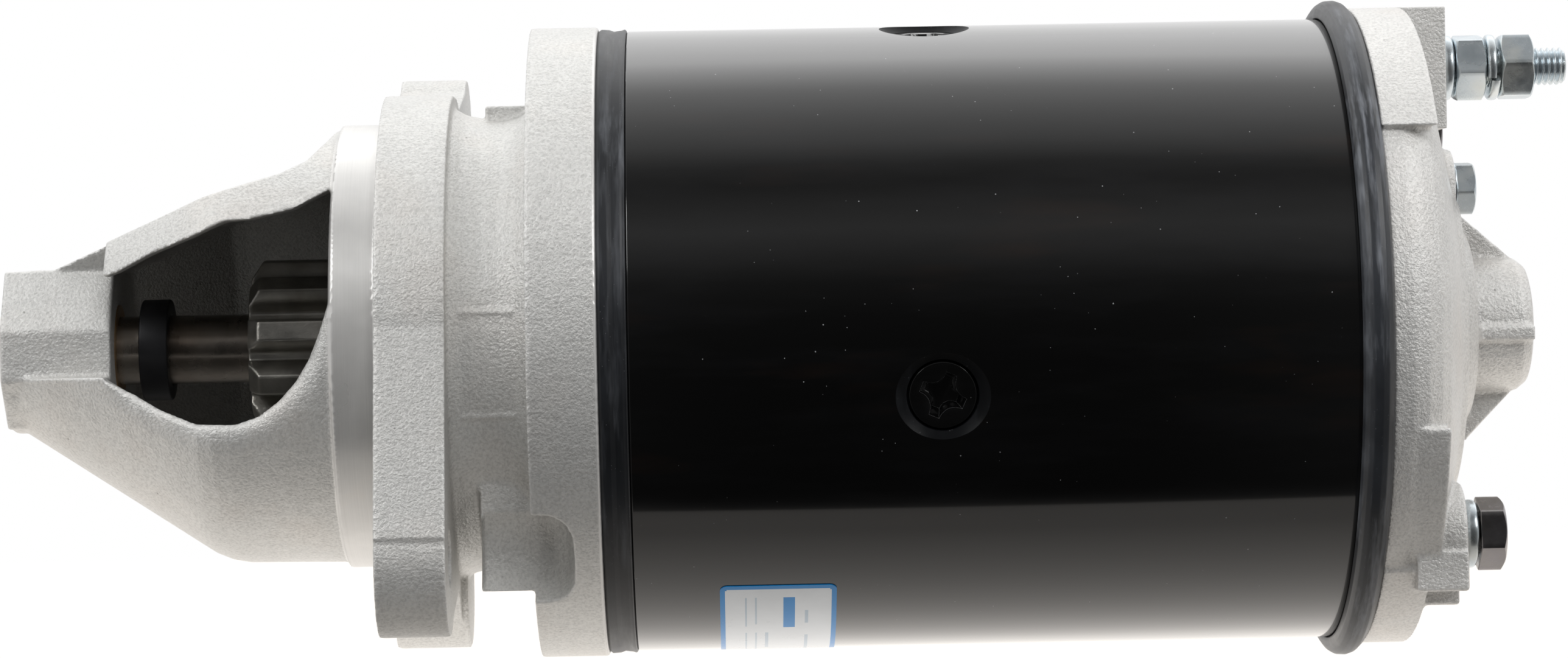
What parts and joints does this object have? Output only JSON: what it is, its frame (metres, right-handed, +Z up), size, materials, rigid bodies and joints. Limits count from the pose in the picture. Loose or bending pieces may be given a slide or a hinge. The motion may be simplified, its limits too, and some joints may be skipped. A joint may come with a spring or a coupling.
{
  "type": "starter motor",
  "caption": "Pre-engaged engine starter motor: cast nose bracket around a sliding pinion, black tubular motor body, domed end cap with a stud terminal, side solenoid.",
  "frame": {"origin": "centre of the flange's engine-side face, on the shaft axis", "axes": "+X along the shaft towards the commutator end, +Z up, the pinion window faces -Y, the solenoid is on +Y"},
  "size_m": [0.3289, 0.1963, 0.1366],
  "materials": {
    "cast_aluminium": "sand-cast, matt",
    "yoke_paint": "gloss black",
    "black_rubber": "moulded",
    "zinc_steel": "bright zinc plate",
    "dark_steel": "oiled",
    "pinion_steel": "hardened, matt",
    "collar_black": "black oxide",
    "shaft_steel": "ground, oiled",
    "spring_steel": "drawn wire",
    "bronze": "sintered, oiled",
    "copper": "bare copper",
    "coil_tape": "varnished cotton tape",
    "core_steel": "laminated, varnished",
    "carbon": "pressed carbon-copper",
    "holder_steel": "yellow zinc plate",
    "label_white": "printed film",
    "moulding_black": "phenolic moulding",
    "tinned_steel": "tin plate",
    "case_paint": "satin black"
  },
  "bodies": {
    "housing": {"drive_end_bracket": "cast_aluminium", "nose_bush": "bronze", "front_seal_ring": "black_rubber", "centre_bracket": "dark_steel", "centre_bush": "bronze", "yoke": "yoke_paint", "pole_shoes": "core_steel", "field_coils": "coil_tape", "pole_screws": "dark_steel", "rear_seal_ring": "black_rubber", "commutator_end_bracket": "cast_aluminium", "rear_bush": "bronze", "brush_plate": "holder_steel", "brush_holders": "holder_steel", "brushes": "carbon", "brush_springs": "spring_steel", "through_bolts": "dark_steel", "through_bolt_washers": "zinc_steel", "cover_bolts": "zinc_steel", "earth_stud": "zinc_steel", "earth_nuts": "zinc_steel", "earth_washers": "zinc_steel", "data_plate": "label_white", "lead_grommet": "black_rubber", "motor_lead": "copper", "lever_pivot_pin": "zinc_steel", "solenoid_case": "case_paint", "solenoid_winding": "coil_tape", "solenoid_sleeve": "bronze", "solenoid_core": "core_steel", "solenoid_cap": "moulding_black", "solenoid_studs": "copper", "solenoid_nuts": "zinc_steel", "solenoid_spade": "tinned_steel", "solenoid_screws": "zinc_steel"},
    "armature": {"armature_shaft": "shaft_steel", "armature_core": "core_steel", "armature_windings": "coil_tape", "commutator": "copper", "thrust_collar": "collar_black", "collar_ring": "spring_steel"},
    "plunger": {"plunger": "core_steel", "plunger_pin": "zinc_steel", "plunger_spring": "spring_steel"},
    "contact": {"contact_bridge": "copper"},
    "lever": {"engagement_lever": "dark_steel"},
    "drive_collar": {"engagement_collar": "dark_steel"},
    "clutch": {"drive_sleeve": "dark_steel", "clutch_shell": "dark_steel", "clutch_cover": "dark_steel", "clutch_rollers": "zinc_steel", "meshing_spring": "spring_steel"},
    "pinion": {"pinion": "pinion_steel", "pinion_bush": "bronze"}
  },
  "joints": [
    {"name": "armature_spin", "type": "hinge", "parent": "housing", "child": "armature", "pos_m": [0, 0, 0], "axis": [1, 0, 0], "continuous": true},
    {"name": "plunger_slide", "type": "slide", "parent": "housing", "child": "plunger", "axis": [1, 0, 0], "range_m": [0, 0.012], "stiffness_N_per_m": 900, "springref_m": -0.012, "deforming": ["plunger_spring"]},
    {"name": "contact_slide", "type": "slide", "parent": "housing", "child": "contact", "axis": [1, 0, 0], "range_m": [0, 0.0031]},
    {"name": "lever_swing", "type": "hinge", "parent": "housing", "child": "lever", "pos_m": [0.028, 0.055, 0], "axis": [0, 0, -1], "range_deg": [0, 16.3]},
    {"name": "drive_slide", "type": "slide", "parent": "housing", "child": "drive_collar", "axis": [-1, 0, 0], "range_m": [0, 0.0158]},
    {"name": "clutch_spin", "type": "hinge", "parent": "drive_collar", "child": "clutch", "pos_m": [0.016, 0, 0], "axis": [1, 0, 0], "continuous": true},
    {"name": "pinion_overrun", "type": "hinge", "parent": "clutch", "child": "pinion", "pos_m": [-0.01, 0, 0], "axis": [1, 0, 0], "continuous": true}
  ],
  "couplings": [
    {"joint": "lever_swing", "follows": "plunger_slide", "rad_per_m": 23.649},
    {"joint": "drive_slide", "follows": "plunger_slide", "ratio": 1.3083},
    {"joint": "contact_slide", "follows": "plunger_slide", "ratio": 0.25},
    {"joint": "clutch_spin", "follows": "armature_spin", "ratio": 1}
  ]
}
